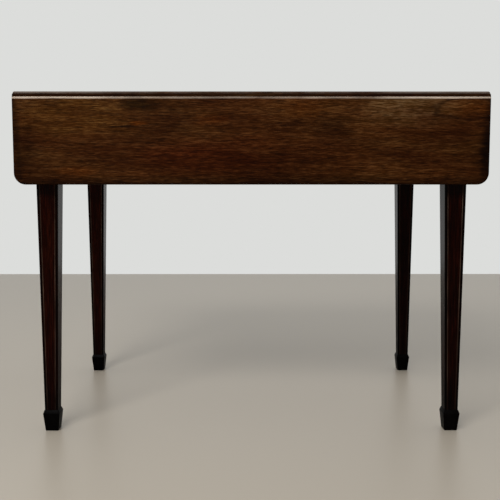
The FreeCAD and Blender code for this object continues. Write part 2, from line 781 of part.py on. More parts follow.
def make_drawer():
    high = drawer_z + drawer_height
    panel_top = panel_z + s.drawer_bottom
    groove_z = (panel_z, panel_top)
    back_x = (drawer_end, drawer_end + s.drawer_wall)
    tail_end = face_x - s.bead_depth - s.lap_wall
    front_tails = []
    back_tails = []
    for side, sign in sides:
        y = span(sign, drawer_inner, drawer_half)
        tail_front = drawer_tails(f"front_tail_{side}", (front_back, tail_end), False, y)
        tail_back = drawer_tails(f"back_tail_{side}", back_x, True, y)
        board = box(f"side_wall_{side}", (back_x[1], front_back), y, (drawer_z, high))
        groove_y = span(sign, drawer_inner, drawer_inner + s.groove_depth)
        groove = box(f"side_groove_{side}", (drawer_end, face_x), groove_y, groove_z)
        blank = fuse(f"drawer_wall_{side}", [board] + tail_front + tail_back)
        label(cut(f"drawer_side_{side}", blank, [groove]), f"drawer_side_{side}")
        front_tails += tail_front
        back_tails += tail_back
    front_y = (-drawer_half, drawer_half)
    panel_half = drawer_inner + s.groove_depth - s.groove_room
    panel_x = (drawer_end, front_back + s.groove_depth)
    panel_y = (-panel_half, panel_half)
    label(box("drawer_bottom", panel_x, panel_y, groove_z), "drawer_bottom")

    fittings = [make_bead("drawer", 1), make_knob("drawer", 1)]
    groove = box("front_groove", panel_x, panel_y, groove_z)
    board = box("front_board", (front_back, face_x), front_y, (drawer_z + s.drawer_side_gap, high))
    label(cut("drawer_front", board, front_tails + [groove] + fittings), "drawer_front")
    back = box("back_board", back_x, front_y, (panel_top, high - s.back_drop))
    label(cut("drawer_back", back, back_tails), "drawer_back")


make_drawer()


# What the drawer runs on: runners with a guide strip, kickers above, and stops.
def make_drawer_ways(side, sign):
    guide = drawer_half + s.guide_gap
    points = [(rail_in - s.runner_width, apron_z), (rail_in, apron_z), (rail_in, drawer_z + s.guide_height),
              (guide, drawer_z + s.guide_height), (guide, drawer_z), (rail_in - s.runner_width, drawer_z)]
    points = [(u * sign, v) for u, v in points]
    runner = extrusion(f"drawer_runner_{side}", "YZ_Plane", points, {}, leg_in_x * 2)
    label(runner, f"drawer_runner_{side}")
    kicker_y = span(sign, rail_in - s.kicker_width, rail_in)
    strip = box(f"kicker_{side}", (-leg_in_x, leg_in_x), kicker_y, (kicker_z, underside))
    label(cut(f"drawer_kicker_{side}", strip, [top_screws]), f"drawer_kicker_{side}")
    stop_x = (front_back - s.stop_depth, front_back)
    stop_y = about(s.stop_offset * sign, s.stop_width)
    return box(f"stop_{side}", stop_x, stop_y, (drawer_z, drawer_z + s.stop_height))


label(group("drawer_stops", [make_drawer_ways(side, sign) for side, sign in sides]), "drawer_stops")

doc.recompute()
faults = [item.Label for item in doc.Objects if {"Invalid", "Error"} & set(item.State)]
for item in subparts:
    if item.Shape.isNull() or not item.Shape.isValid():
        faults.append(item.Label)
if faults:
    raise RuntimeError("failed objects: " + ", ".join(faults))

os.makedirs("parts", exist_ok=True)
for item in subparts:
    item.Shape.exportStep(f"parts/{item.Label}.step")
print(len(subparts), "sub-parts written")
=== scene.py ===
import bpy
import math
import numpy as np
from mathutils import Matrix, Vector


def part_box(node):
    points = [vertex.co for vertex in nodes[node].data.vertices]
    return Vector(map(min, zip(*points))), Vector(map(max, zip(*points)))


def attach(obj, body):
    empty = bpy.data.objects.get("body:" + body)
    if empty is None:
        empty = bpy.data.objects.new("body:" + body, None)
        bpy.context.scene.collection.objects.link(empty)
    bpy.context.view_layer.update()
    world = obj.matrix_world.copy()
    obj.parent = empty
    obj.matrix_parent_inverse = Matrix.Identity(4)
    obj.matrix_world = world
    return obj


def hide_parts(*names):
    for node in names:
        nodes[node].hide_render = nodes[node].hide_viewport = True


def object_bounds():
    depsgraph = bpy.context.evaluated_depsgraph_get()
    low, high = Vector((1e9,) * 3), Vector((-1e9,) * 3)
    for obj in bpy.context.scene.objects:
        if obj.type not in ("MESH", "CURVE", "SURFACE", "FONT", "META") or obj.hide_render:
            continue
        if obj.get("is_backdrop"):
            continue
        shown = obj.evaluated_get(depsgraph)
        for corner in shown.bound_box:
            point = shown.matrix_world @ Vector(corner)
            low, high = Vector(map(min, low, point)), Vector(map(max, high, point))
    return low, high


# Dark mahogany pembroke table: finishes for the CAD pieces, and carved, turned and filed
# pieces where a finer surface than the solid's is wanted. Sizes in the settings are in mm.
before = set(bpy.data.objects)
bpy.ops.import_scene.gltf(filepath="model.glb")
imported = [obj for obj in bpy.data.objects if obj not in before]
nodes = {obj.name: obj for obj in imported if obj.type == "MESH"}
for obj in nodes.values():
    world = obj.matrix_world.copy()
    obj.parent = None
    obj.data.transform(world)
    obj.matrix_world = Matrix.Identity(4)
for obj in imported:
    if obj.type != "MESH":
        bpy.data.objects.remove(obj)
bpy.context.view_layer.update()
scene = bpy.context.scene
mm = 0.001
sides = {"front": -1, "rear": 1}
ends = {"left": -1, "right": 1}
corners = [f"{side}_{end}" for side in sides for end in ends]


def linear(hexColour):  # sRGB hex to linear light
    value = np.array([int(hexColour[i:i + 2], 16) for i in (1, 3, 5)]) / 255
    bright = ((value + 0.055) / 1.055) ** 2.4
    return (*np.where(value <= 0.04045, value / 12.92, bright).tolist(), 1.0)


def add(tree, kind, links, stops=(), **settings):  # a node, its settings, and its inputs as links or values
    node = tree.nodes.new(kind)
    for name, value in settings.items():
        setattr(node, name, value)
    for socket, source in links.items():
        if isinstance(source, bpy.types.NodeSocket):
            tree.links.new(source, node.inputs[socket])
        else:
            node.inputs[socket].default_value = source
    for number, (spot, colour) in enumerate(stops):
        if number >= len(node.color_ramp.elements):
            node.color_ramp.elements.new(spot)
        node.color_ramp.elements[number].position = spot
        node.color_ramp.elements[number].color = linear(colour)
    return node


def calc(tree, operation, *values, **settings):  # arithmetic on links and numbers
    return add(tree, "ShaderNodeMath", dict(enumerate(values)), operation=operation, **settings).outputs[0]


def calcVector(tree, operation, *values):
    return add(tree, "ShaderNodeVectorMath", dict(enumerate(values)), operation=operation).outputs


def fade(tree, value, start, stop, low=0.0, high=1.0, curve="LINEAR"):  # low at start, high at stop
    sockets = {"Value": value, "From Min": start, "From Max": stop, "To Min": low, "To Max": high}
    return add(tree, "ShaderNodeMapRange", sockets, interpolation_type=curve).outputs[0]


def ease(tree, *values):  # a fade with soft ends
    return fade(tree, *values, curve="SMOOTHSTEP")


def between(tree, share, first, second):  # two numbers
    return add(tree, "ShaderNodeMix", {0: share, 2: first, 3: second}).outputs[0]


def blend(tree, share, first, second, kind="MIX"):  # two colours
    return add(tree, "ShaderNodeMix", {0: share, 6: first, 7: second}, data_type="RGBA",
               blend_type=kind).outputs[2]


def darken(tree, share, colour, level):
    return blend(tree, share, colour, (level, level, level, 1), "MULTIPLY")


def parts(tree, place):
    return add(tree, "ShaderNodeSeparateXYZ", {0: place}).outputs


def noise(tree, place, axis, size, shift=(0, 0, 0), rough=0.5):
    # a size is mm along the grain's axis, mm across it, and how much finer detail it has
    along, across, detail = size
    scale = [1 / ((along if name == axis else across) * mm) for name in "xyz"]
    scaled = add(tree, "ShaderNodeMapping", {0: place, "Location": shift, "Scale": scale}).outputs[0]
    return add(tree, "ShaderNodeTexNoise", {"Vector": scaled, "Scale": 1, "Detail": detail,
                                            "Roughness": rough}).outputs


def swayed(tree, place, drift, reach):  # the place, moved by a noise's colour up to half this reach
    centred = calcVector(tree, "SUBTRACT", drift, (0.5, 0.5, 0.5))[0]
    return calcVector(tree, "MULTIPLY_ADD", centred, [each * mm for each in reach], place)[0]


def begin(name):  # a new material, its shader, and the place on the piece in metres
    material = bpy.data.materials.new(name)
    material.use_nodes = True
    tree = material.node_tree
    place = add(tree, "ShaderNodeTexCoord", {}).outputs["Object"]
    return material, tree, tree.nodes["Principled BSDF"], place


def coat(tree, shader, colour, rough, height, relief):
    bump = add(tree, "ShaderNodeBump", {"Height": height, "Distance": relief * mm}).outputs[0]
    for socket, source in (("Base Color", colour), ("Roughness", rough), ("Normal", bump)):
        tree.links.new(source, shader.inputs[socket])


def dress(material, *names):
    for name in names:
        nodes[name].data.materials.clear()
        nodes[name].data.materials.append(material)


# Woods. Every wood is the same few things at its own sizes: slow changes of tone and hue
# across the board, growth rings cut by the face, streaks and fibres along the grain, and
# open pores. Most values of a noise lie in the wide span. The layers are taken from places
# apart from each other in it.
noiseLook = {"wide": (0.3, 0.7), "narrow": (0.38, 0.62), "rough": 0.6, "apart": 7.3, "aside": 2.1,
             "swayDetail": 1}


def ringBands(tree, place, look):
    # 0.5 + 0.5 sin(2 pi r / width), with r the distance from a pith line, warped a little; the
    # line leans slowly away from the face, so that the face cuts the rings in long arches
    ring, axis = look["ring"], look["axis"]
    swirl = noise(tree, place, axis, ring["warpSize"])[0]
    part = parts(tree, place)
    squares = []
    for name, centre, lean in zip("xyz".replace(axis, ""), ring["pith"], ring["lean"]):
        line = calc(tree, "MULTIPLY_ADD", part[axis.upper()], lean, centre * mm)
        away = calc(tree, "SUBTRACT", part[name.upper()], line)
        squares.append(calc(tree, "MULTIPLY", away, away))
    radius = calc(tree, "POWER", calc(tree, "ADD", *squares), 0.5)
    bent = calc(tree, "MULTIPLY_ADD", swirl, ring["warp"] * mm, radius)
    wave = calc(tree, "SINE", calc(tree, "MULTIPLY", bent, 2 * math.pi / (ring["width"] * mm)))
    return calc(tree, "MULTIPLY_ADD", wave, 0.5, 0.5)


def wood(name, look, *extras):
    material, tree, shader, place = begin(name)
    axis = look["axis"]
    along, across, reach = look["sway"]  # the grain runs in slow waves of this reach
    drift = noise(tree, place, axis, (along, across, noiseLook["swayDetail"]))["Color"]
    grown = swayed(tree, place, drift, [0 if each == axis else reach for each in "xyz"])
    layers = {}
    for number, layer in enumerate(("zone", "hue", "streak", "fibre", "pore")):
        shift = (look["seed"], number * noiseLook["apart"], noiseLook["aside"])
        layers[layer] = noise(tree, grown, axis, look[layer], shift, noiseLook["rough"])[0]
    grain = between(tree, look["fibreShare"], layers["streak"], layers["fibre"])
    if "ring" in look:
        grain = between(tree, look["ring"]["share"], grain, ringBands(tree, place, look))
    spread = fade(tree, grain, *look["spread"])
    colour = add(tree, "ShaderNodeValToRGB", {0: spread}, stops=look["colours"]).outputs[0]
    warm = ease(tree, layers["hue"], *noiseLook["narrow"], 0, look["warmth"])
    colour = blend(tree, warm, colour, linear(look["warm"]), "MULTIPLY")
    darker, lighter = look["tone"]
    tone = blend(tree, fade(tree, layers["zone"], *noiseLook["wide"]), (*darker, 1), (*lighter, 1))
    colour = blend(tree, 1.0, colour, tone, "MULTIPLY")
    pores = ease(tree, layers["pore"], *look["poreEdge"])
    filled = calc(tree, "MULTIPLY", pores, look["poreDepth"])
    colour = blend(tree, filled, colour, linear(look["poreColour"]))
    rough = fade(tree, layers["zone"], *noiseLook["wide"], *look["roughness"])
    for extra in extras:
        colour, rough = extra(tree, place, colour, rough)
    height = calc(tree, "MULTIPLY_ADD", pores, -1.0, layers["fibre"])
    coat(tree, shader, colour, rough, height, look["relief"])
    shader.inputs["Specular IOR Level"].default_value = look["specular"]
    return material


# Waxed mahogany of the top and leaves: plain-sawn and old, so brown with red and olive
# zones, short dark pores, and a dull wax gloss. Real fibres and pores are under 0.5 mm
# across; they are drawn about five times as coarse, to show.
leafLow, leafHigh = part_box("leaf_front")
topLow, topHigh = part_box("fixed_top")
boardLook = {
    "axis": "x", "seed": 3.1, "specular": 0.025, "roughness": (0.32, 0.44), "relief": 0.05,
    "sway": (240, 70, 7), "zone": (200, 46, 2), "hue": (300, 60, 2),
    "streak": (80, 2.4, 1), "fibre": (17, 1.7, 2), "pore": (24, 1.7, 1),
    "fibreShare": 0.74, "spread": (0.32, 0.68),
    "ring": {"pith": (-352, 686), "lean": (0.05, -0.02), "width": 13, "warp": 22,
             "warpSize": (150, 30, 2), "share": 0.06},
    "colours": [(0.0, "#1e0c00"), (0.5, "#371c07"), (1.0, "#543519")],
    "warm": "#e8a886", "warmth": 0.3, "tone": ((0.62, 0.54, 0.56), (1.42, 1.56, 1.7)),
    "poreEdge": (0.57, 0.63), "poreDepth": 0.6, "poreColour": "#140701",
}

# Figure of the front leaf, and one painted sheen: soft ellipses, each with its middle and half-size along
# and up, and a tint that multiplies the wood. One with a line width is only a band about its outline.
figureLook = {"swirl": (60, 14, 3), "reach": (70, 0, 12), "depth": 25, "core": 0.2}
figureAndSheenMarks = [
    {"middle": (-370, 668), "size": (170, 60), "tint": "#f0ffe6", "share": 0.7, "gain": 2.0},
    {"middle": (-264, 648), "size": (66, 2.6), "tint": "#4c3a28", "share": 0.9, "gain": 1.0},
    {"middle": (-226, 693), "size": (60, 20), "tint": "#7c8a68", "share": 0.8, "gain": 1.0},
    {"middle": (-236, 655), "size": (26, 6), "tint": "#ffe09a", "share": 0.7, "gain": 2.2},
    {"middle": (-362, 557), "size": (64, 14), "tint": "#ffe4b8", "share": 0.6, "gain": 1.7},
    {"middle": (-84, 662), "size": (52, 16), "tint": "#ffd8a0", "share": 0.5, "gain": 1.6},
    {"middle": (-90, 582), "size": (300, 60), "tint": "#c48c74", "share": 0.85, "gain": 1.0},
    {"middle": (108, 680), "size": (70, 28), "tint": "#ffe8b4", "share": 0.4, "gain": 1.5},
    {"middle": (168, 644), "size": (60, 40), "tint": "#8c7a68", "share": 0.6, "gain": 1.0},
    {"middle": (-10, 640), "size": (130, 46), "tint": "#d4b8a4", "share": 0.7, "gain": 1.0},
    {"middle": (150, 570), "size": (150, 40), "tint": "#dcc4b4", "share": 0.6, "gain": 1.0},
    # a painted sheen: a pale grey-blue reflection brightening the leaf's upper right
    {"middle": (334, 684), "size": (140, 48), "tint": "#b4d4ff", "share": 0.75, "gain": 4.4},
    {"middle": (440, 686), "size": (70, 22), "tint": "#fff8dc", "share": 0.5, "gain": 2.0},
    {"middle": (442, 684), "size": (70, 22), "tint": "#6a5c50", "share": 0.5, "gain": 1.0, "line": 0.2},
    {"middle": (484, 600), "size": (34, 90), "tint": "#5c4c44", "share": 0.85, "gain": 1.0},
    {"middle": (-455, 598), "size": (40, 60), "tint": "#a09a90", "share": 0.7, "gain": 1.0},
]


def leafFigureAndSheen(tree, place, colour, rough):
    swirl = noise(tree, place, "x", figureLook["swirl"])["Color"]
    bent = swayed(tree, place, swirl, figureLook["reach"])
    for mark in figureAndSheenMarks:
        (x, z), (wide, tall) = mark["middle"], mark["size"]
        away = calcVector(tree, "SUBTRACT", bent, (x * mm, leafLow.y, z * mm))[0]
        half = (wide * mm, figureLook["depth"] * mm, tall * mm)
        reach = calcVector(tree, "LENGTH", calcVector(tree, "DIVIDE", away, half)[0])["Value"]
        edge = 1.0
        if "line" in mark:
            reach = calc(tree, "ABSOLUTE", calc(tree, "SUBTRACT", reach, 1.0))
            edge = mark["line"]
        share = ease(tree, reach, edge, edge * figureLook["core"], 0, mark["share"])
        tint = [level * mark["gain"] for level in linear(mark["tint"])[:3]] + [1.0]
        colour = blend(tree, share, colour, tint, "MULTIPLY")
    return colour, rough


rimLook = {"ends": 15, "slant": 0.08, "endShare": 0.75, "bottom": 26, "darkest": 0.3}


def rimGrimeAndShade(tree, place, colour, rough):  # grime from hands and polish, and painted shade where the rounded edge turns from the light, darken a leaf's ends and lower edge
    part = parts(tree, place)
    out = calc(tree, "ABSOLUTE", part["X"])
    down = calc(tree, "SUBTRACT", leafHigh.z, part["Z"])
    wider = calc(tree, "MULTIPLY_ADD", down, rimLook["slant"], out)
    atEnd = ease(tree, wider, leafHigh.x - rimLook["ends"] * mm, leafHigh.x, 0, rimLook["endShare"])
    low = ease(tree, part["Z"], leafLow.z + rimLook["bottom"] * mm, leafLow.z)
    return darken(tree, calc(tree, "MAXIMUM", atEnd, low), colour, rimLook["darkest"]), rough


# The lip's pale band is partly wear and partly a painted highlight along its rounded edge.
lipLook = {"height": 4.6, "fade": 1.2, "nick": 2.0, "nickSize": (60, 8, 4), "colour": "#b5a494",
           "rough": 0.3, "wornSheen": (0.36, 0.86), "wornSheenFrom": (240, 340), "spot": (45, 45, 2),
           "spotShare": 0.9}


def edgeWearAndSheen(tree, place):  # how strongly a long edge is worn pale and painted bright: most at the ends, where hands lift it, and in spots
    out = calc(tree, "ABSOLUTE", parts(tree, place)["X"])
    middle, end = lipLook["wornSheenFrom"]
    share = ease(tree, out, middle * mm, end * mm, *lipLook["wornSheen"])
    spots = noise(tree, place, "x", lipLook["spot"])[0]
    offset = calc(tree, "SUBTRACT", spots, 0.5)
    return calc(tree, "MULTIPLY_ADD", offset, lipLook["spotShare"], share, use_clamp=True)


def rubbedLipAndHighlight(tree, place, colour, rough):  # the lip of a hanging leaf, rubbed pale and given a painted highlight along it, with nicks
    nicks = noise(tree, place, "x", lipLook["nickSize"])[0]
    start = leafHigh.z - (lipLook["height"] + lipLook["nick"] / 2) * mm
    base = calc(tree, "MULTIPLY_ADD", nicks, lipLook["nick"] * mm, start)
    above = calc(tree, "SUBTRACT", parts(tree, place)["Z"], base)
    rub = ease(tree, above, 0, lipLook["fade"] * mm, 0, edgeWearAndSheen(tree, place))
    colour = blend(tree, rub, colour, linear(lipLook["colour"]))
    return colour, between(tree, rub, rough, lipLook["rough"])


jointLook = {"ovolo": 7.0, "lead": (0.4, 0.2), "step": 4.0, "soft": 0.5, "dark": 0.35, "rough": 0.8,
             "arris": 1.6, "low": 0.45, "wornSheen": "#7a7068"}


def jointShadeAndSheen(tree, place, colour, rough):  # the top's ovolo is darkened by old grease and painted shade in the joint, and made rough; its fillet's arris is paled, partly wear and partly a painted highlight
    part = parts(tree, place)
    out = calc(tree, "ABSOLUTE", part["Y"])
    fillet = topHigh.y - jointLook["ovolo"] * mm
    before, after = jointLook["lead"]
    beyond = fade(tree, out, fillet - before * mm, fillet + after * mm)
    stepZ, soft = topHigh.z - jointLook["step"] * mm, jointLook["soft"] * mm
    under = fade(tree, part["Z"], stepZ + soft, stepZ - soft)
    inJoint = calc(tree, "MULTIPLY", beyond, under)
    # painted shade in the joint behind the leaf's lip, with grease
    colour = darken(tree, inJoint, colour, jointLook["dark"])
    rough = between(tree, inJoint, rough, jointLook["rough"])
    # a painted highlight along the fillet, brightest at its top arris, with wear
    rising = fade(tree, part["Z"], stepZ, topHigh.z, jointLook["low"])
    onFillet = calc(tree, "MULTIPLY", rising, calc(tree, "SUBTRACT", 1.0, under))
    edge = fade(tree, out, fillet - jointLook["arris"] * mm, fillet, 0, edgeWearAndSheen(tree, place))
    wornSheen = calc(tree, "MULTIPLY", onFillet, edge)
    return blend(tree, wornSheen, colour, linear(jointLook["wornSheen"])), rough


dryLook = {"leafThick": 16, "depth": 0.8, "skin": 0.2, "colour": "#6b5540", "share": 0.45, "rough": 0.75}


def dryWood(tree, height, face, colour, rough):  # a face that never had wax: paler, greyer and dull
    share = fade(tree, height, face + dryLook["depth"] * mm, face + dryLook["skin"] * mm)
    paler = calc(tree, "MULTIPLY", share, dryLook["share"])
    colour = blend(tree, paler, colour, linear(dryLook["colour"]))
    return colour, between(tree, share, rough, dryLook["rough"])


def dryBack(tree, place, colour, rough):  # the side of a leaf that faces the frame when it hangs
    out = calc(tree, "ABSOLUTE", parts(tree, place)["Y"])
    return dryWood(tree, out, -leafLow.y - dryLook["leafThick"] * mm, colour, rough)


def dryUnderside(tree, place, colour, rough):
    return dryWood(tree, parts(tree, place)["Z"], topLow.z, colour, rough)


leafWood = wood("waxedMahoganyLeaf", boardLook, leafFigureAndSheen, rimGrimeAndShade, rubbedLipAndHighlight, dryBack)
dress(leafWood, "leaf_front", "leaf_rear")
dress(wood("waxedMahoganyTop", {**boardLook, "seed": 5.7}, jointShadeAndSheen, dryUnderside), "fixed_top")
print("top and leaves waxed")

# Polished mahogany of the legs: almost black with red in it, and blackest outside the
# string lines, where the polish has gathered along the arrises.
legShape = {"top": 47.0, "ankle": 28.3, "topZ": 704.0, "kneeZ": 592.0, "footZ": 46.0,
            "topMiddle": (426.8, 254.0), "ankleMiddle": (431.05, 258.25),
            "stringInset": 5.8, "ankleInset": 5.0, "stringWidth": 1.6, "stringDepth": 1.2,
            "arris": 0.5, "arcSteps": 4}
legLook = {
    "axis": "z", "seed": 1.3, "specular": 0.028, "roughness": (0.14, 0.22), "relief": 0.03,
    "sway": (180, 40, 5), "zone": (170, 26, 3), "hue": (150, 20, 2),
    "streak": (70, 3.0, 2), "fibre": (36, 2.0, 2), "pore": (24, 1.8, 1),
    "fibreShare": 0.5, "spread": (0.3, 0.7),
    "colours": [(0.0, "#080100"), (0.5, "#170401"), (1.0, "#2d0e05")],
    "warm": "#e0a088", "warmth": 0.5, "tone": ((0.7, 0.6, 0.6), (1.3, 1.35, 1.3)),
    "poreEdge": (0.6, 0.72), "poreDepth": 0.5, "poreColour": "#030000",
}
legWear = {"margin": 0.25, "grimeHeight": 170, "grime": 0.4, "dullHeight": 420, "dullRough": 0.5,
           "drawerEndShade": (0.66, 0.58, 0.6), "drawerEndShadeFrom": 100}


def darkMargin(tree, place, colour, rough):
    # how far a point is across its face, against where the string line is at its height
    part = parts(tree, place)
    down = fade(tree, part["Z"], legShape["kneeZ"] * mm, legShape["footZ"] * mm)

    def tapered(top, ankle):
        return calc(tree, "MULTIPLY_ADD", down, (ankle - top) * mm, top * mm)

    across = []
    for name, top, ankle in zip("XY", legShape["topMiddle"], legShape["ankleMiddle"]):
        offset = calc(tree, "SUBTRACT", calc(tree, "ABSOLUTE", part[name]), tapered(top, ankle))
        across.append(calc(tree, "ABSOLUTE", offset))
    line = tapered(legShape["top"] / 2 - legShape["stringInset"],
                   legShape["ankle"] / 2 - legShape["ankleInset"])
    past = calc(tree, "SUBTRACT", calc(tree, "MINIMUM", *across), line)
    margin = ease(tree, past, -legShape["stringWidth"] * mm, 0.0)
    return darken(tree, margin, colour, legWear["margin"]), rough


def ankleGrime(tree, place, colour, rough):  # old floor polish, thicker and duller towards the foot
    z, foot = parts(tree, place)["Z"], legShape["footZ"] * mm
    rough = ease(tree, z, legWear["dullHeight"] * mm, foot, rough, legWear["dullRough"])
    low = ease(tree, z, legWear["grimeHeight"] * mm, foot)
    return darken(tree, low, colour, legWear["grime"]), rough


def drawerEndLegsShade(tree, place, colour, rough):  # painted shade: the two legs at the drawer end are darkened, as if less light fell on them
    reach = legWear["drawerEndShadeFrom"] * mm
    share = fade(tree, parts(tree, place)["X"], -reach, reach)
    return blend(tree, share, colour, (*legWear["drawerEndShade"], 1), "MULTIPLY"), rough


legWood = wood("polishedMahoganyLegs", legLook, darkMargin, ankleGrime, drawerEndLegsShade)
railLook = {**legLook, "axis": "y", "seed": 8.2, "zone": (150, 40, 3), "streak": (70, 3.6, 3),
            "specular": 0.04, "colours": [(0.0, "#150801"), (0.5, "#2e1504"), (1.0, "#4a290f")]}
dress(wood("polishedMahoganyRails", railLook), "drawer_top_rail", "drawer_bottom_rail")
# the drawer front and the dummy one are of a livelier plank; their beads are rubbed paler
frontLook = {**railLook, "seed": 11.6, "zone": (120, 30, 3), "tone": ((0.72, 0.64, 0.62), (1.5, 1.55, 1.5))}
dress(wood("polishedMahoganyFronts", frontLook), "drawer_front", "end_rail")
beadLook = {**railLook, "seed": 13.2, "colours": [(0.0, "#2a1305"), (0.5, "#4b260c"), (1.0, "#6d411c")]}
dress(wood("rubbedMahoganyBeads", beadLook), "drawer_cock_bead", "dummy_cock_bead")

# Boxwood stringing, stained by age and polish to a dull red-brown, with hardly any figure.
stringLook = {**legLook, "seed": 4.4, "zone": (60, 20, 2), "warmth": 0.2,
              "colours": [(0.0, "#211712"), (0.5, "#352821"), (1.0, "#4b3b33")]}
dress(wood("stainedBoxwoodStringing", stringLook, ankleGrime),
      *[f"leg_stringing_{corner}" for corner in corners])

# Ebonised pear wood of the spade feet: a dull black stain, with the grain just showing.
footLook = {**legLook, "seed": 6.6, "warmth": 0.0, "roughness": (0.3, 0.45), "specular": 0.014,
            "colours": [(0.0, "#020101"), (0.6, "#050404"), (1.0, "#0c0a09")], "poreColour": "#010101"}
ebonised = wood("ebonisedPearwood", footLook)

# Beech of the fly rails and brackets, pine of the carcase, oak of the drawer's lining: bare
# or thinly stained, dry to look at, with dirt in the pores.
beechLook = {
    "axis": "x", "seed": 2.2, "specular": 0.3, "roughness": (0.5, 0.65), "relief": 0.12,
    "sway": (200, 60, 8), "zone": (200, 40, 3), "hue": (180, 40, 2),
    "streak": (60, 3.0, 3), "fibre": (9, 1.2, 3), "pore": (6, 1.0, 1),
    "fibreShare": 0.45, "spread": (0.3, 0.72),
    "colours": [(0.0, "#4b2f1b"), (0.5, "#6b472b"), (1.0, "#875f3d")],
    "warm": "#e9b894", "warmth": 0.5, "tone": ((0.8, 0.78, 0.75), (1.12, 1.12, 1.1)),
    "poreEdge": (0.6, 0.7), "poreDepth": 0.6, "poreColour": "#2c1a0e",
}
dress(wood("stainedBeech", beechLook), "fly_rail_front", "fly_rail_rear", "fly_end_blocks",
      *[f"fly_bracket_{corner}" for corner in corners])
pineLook = {**beechLook, "seed": 9.4, "streak": (110, 5.0, 3), "fibre": (40, 1.6, 3), "poreDepth": 0.2,
            "ring": {"pith": (40, 560), "lean": (0.03, 0.012), "width": 8, "warp": 30,
                     "warpSize": (220, 34, 2), "share": 0.26},
            "spread": (0.3, 0.75), "colours": [(0.0, "#5d4023"), (0.5, "#8a6438"), (1.0, "#b0885a")]}
dress(wood("agedPine", pineLook), "drawer_stops",
      *[f"{kind}_{side}" for kind in ("side_rail", "drawer_runner", "drawer_kicker") for side in sides])
oakLook = {**beechLook, "seed": 7.1, "streak": (90, 2.6, 4), "pore": (22, 1.1, 1), "poreEdge": (0.54, 0.66),
           "colours": [(0.0, "#5a4128"), (0.5, "#82633f"), (1.0, "#a3845a")], "poreDepth": 0.55}
dress(wood("bareOakSides", oakLook), "drawer_side_front", "drawer_side_rear")
dress(wood("bareOakAcross", {**oakLook, "axis": "y"}), "drawer_back", "drawer_bottom")
print("legs, rails and drawer finished")

# Metals: a base that shows in patches through its tarnish, over a fine pitted surface.
patchLook = {"span": (0.35, 0.68), "blotchDetail": 4, "pitDetail": 3}  # span from bare to tarnished


def metal(name, look):
    material, tree, shader, place = begin(name)
    blotch = noise(tree, place, "x", (look["blotch"], look["blotch"], patchLook["blotchDetail"]))[0]
    pits = noise(tree, place, "x", (look["pit"], look["pit"], patchLook["pitDetail"]))[0]
    share = ease(tree, blotch, *patchLook["span"])
    colour = add(tree, "ShaderNodeValToRGB", {0: share}, stops=look["colours"]).outputs[0]
    coat(tree, shader, colour, fade(tree, share, 0, 1, *look["roughness"]), pits, look["relief"])
    shader.inputs["Metallic"].default_value = look["metallic"]
    return material


# forged iron: dark scale with brown rust, which is no longer quite metal to the eye
iron = metal("forgedIron", {"blotch": 9, "pit": 1.2, "relief": 0.25, "metallic": 0.8,
                            "roughness": (0.45, 0.75),
                            "colours": [(0.0, "#3a3735"), (0.6, "#4a4038"), (1.0, "#5a3f2c")]})
# steel screws: filed heads, oxidised brown-grey
steel = metal("oxidisedSteel", {"blotch": 4, "pit": 0.7, "relief": 0.08, "metallic": 1.0,
                                "roughness": (0.35, 0.55), "colours": [(0.0, "#77716b"), (1.0, "#4f453d")]})
# cast brass: turned smooth, golden where fingers polish it and brown elsewhere
brass = metal("agedBrass", {"blotch": 15, "pit": 0.9, "relief": 0.02, "metallic": 1.0,
                            "roughness": (0.2, 0.36),
                            "colours": [(0.0, "#bd9448"), (0.6, "#a27a36"), (1.0, "#7c5a28")]})
dress(iron, "hinge_pins", "fly_bracket_pins",
      *[f"hinge_{kind}_plate_{corner}" for kind in ("top", "leaf") for corner in corners])
dress(steel, "top_screws")
print("metals finished")


# New pieces. A lofted piece is a grid of points, rings by points round each ring, anticlockwise
# about the way that the rings go. Faces that meet at more than the sharp angle keep their edge.
def addMesh(name, points, faces, material, sharp):
    mesh = bpy.data.meshes.new(name)
    mesh.from_pydata(points.reshape(-1, 3).tolist(), [], faces)
    mesh.shade_smooth()
    mesh.set_sharp_from_angle(angle=math.radians(sharp))
    mesh.materials.append(material)
    piece = bpy.data.objects.new(name, mesh)
    scene.collection.objects.link(piece)
    return piece


def addRings(name, rings, material, sharp):
    count, around = rings.shape[:2]
    row, col = np.meshgrid(np.arange(count - 1) * around, np.arange(around), indexing="ij")
    after = (col + 1) % around
    walls = np.stack([row + col, row + after, row + around + after, row + around + col], -1)
    lowCap = np.arange(around)[::-1]
    highCap = np.arange(around) + (count - 1) * around
    faces = walls.reshape(-1, 4).tolist() + [lowCap.tolist(), highCap.tolist()]
    return addMesh(name, rings, faces, material, sharp)


def roundedCorners(half, soft, steps):
    # four quarter circles of radius soft, each about a point soft inside a corner of the square
    turn = np.linspace(0, math.pi / 2, steps)
    angle = np.arange(4)[:, None] * math.pi / 2 + turn
    diagonal = np.repeat(np.arange(4) * math.pi / 2 + math.pi / 4, steps).reshape(4, steps)
    inner = half[:, None, None] - soft
    return np.stack([np.sign(np.cos(diagonal)) * inner + soft * np.cos(angle),
                     np.sign(np.sin(diagonal)) * inner + soft * np.sin(angle)], -1)


def raised(section, height):  # outlines, each at its own height
    return np.concatenate([section, np.broadcast_to(height[:, None, None], section.shape[:2] + (1,))], -1)


